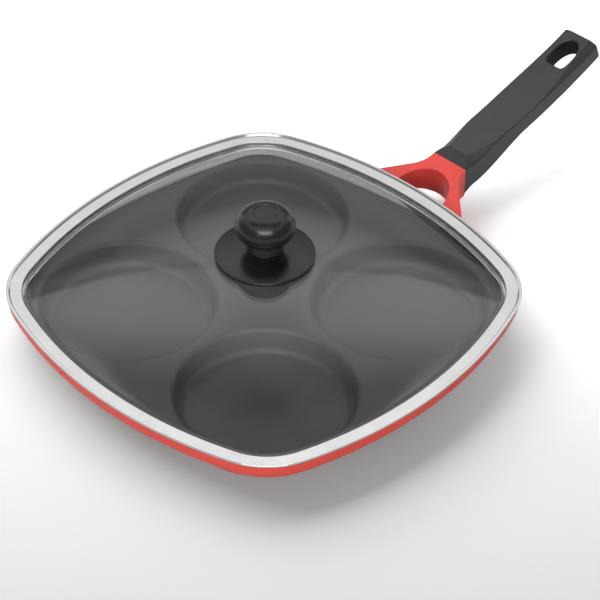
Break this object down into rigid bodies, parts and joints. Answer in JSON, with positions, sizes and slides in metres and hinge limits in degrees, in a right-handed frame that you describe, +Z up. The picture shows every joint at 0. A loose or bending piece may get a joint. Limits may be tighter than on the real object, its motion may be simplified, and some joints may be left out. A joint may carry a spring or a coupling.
{
  "type": "four-cup snack pan with lid",
  "caption": "Square frying pan with round shallow cups, a red enamelled outside, a side handle and a domed glass lid that lifts off by a knob.",
  "frame": {"origin": "on the stove top, below the middle of the whole pan's length and width, handle included", "axes": "+X along the handle from the pan to its end, +Y to the left of someone who looks along the handle from the pan, +Z up"},
  "size_m": [0.4158, 0.2596, 0.0818],
  "materials": {
    "pan_metal": "red enamel outside, dark speckled nonstick coating inside",
    "yoke_metal": "satin red enamel",
    "grip_plastic": "dark grey phenolic, matt",
    "knob_plastic": "black phenolic, polished",
    "rim_steel": "polished stainless steel strip",
    "lid_glass": "clear tempered glass",
    "silicone": "grey silicone",
    "brass": "plain",
    "fastener_steel": "zinc plated"
  },
  "bodies": {
    "pan": {"pan_body": "pan_metal", "handle_yoke": "yoke_metal", "handle_grip": "grip_plastic", "grip_screw": "fastener_steel", "grip_washer": "fastener_steel", "yoke_insert": "brass", "yoke_screw_left": "fastener_steel", "yoke_screw_right": "fastener_steel", "yoke_washer_left": "fastener_steel", "yoke_washer_right": "fastener_steel"},
    "lid": {"lid_rim": "rim_steel", "lid_glass": "lid_glass", "glass_seal": "silicone", "knob": "knob_plastic", "knob_disc": "knob_plastic", "knob_insert": "brass", "knob_screw": "fastener_steel", "knob_washer": "fastener_steel", "upper_gasket": "silicone", "lower_gasket": "silicone"}
  },
  "joints": [
    {"name": "lid_lift", "type": "slide", "parent": "pan", "child": "lid", "axis": [0, 0, 1], "range_m": [0, 0.12]}
  ]
}
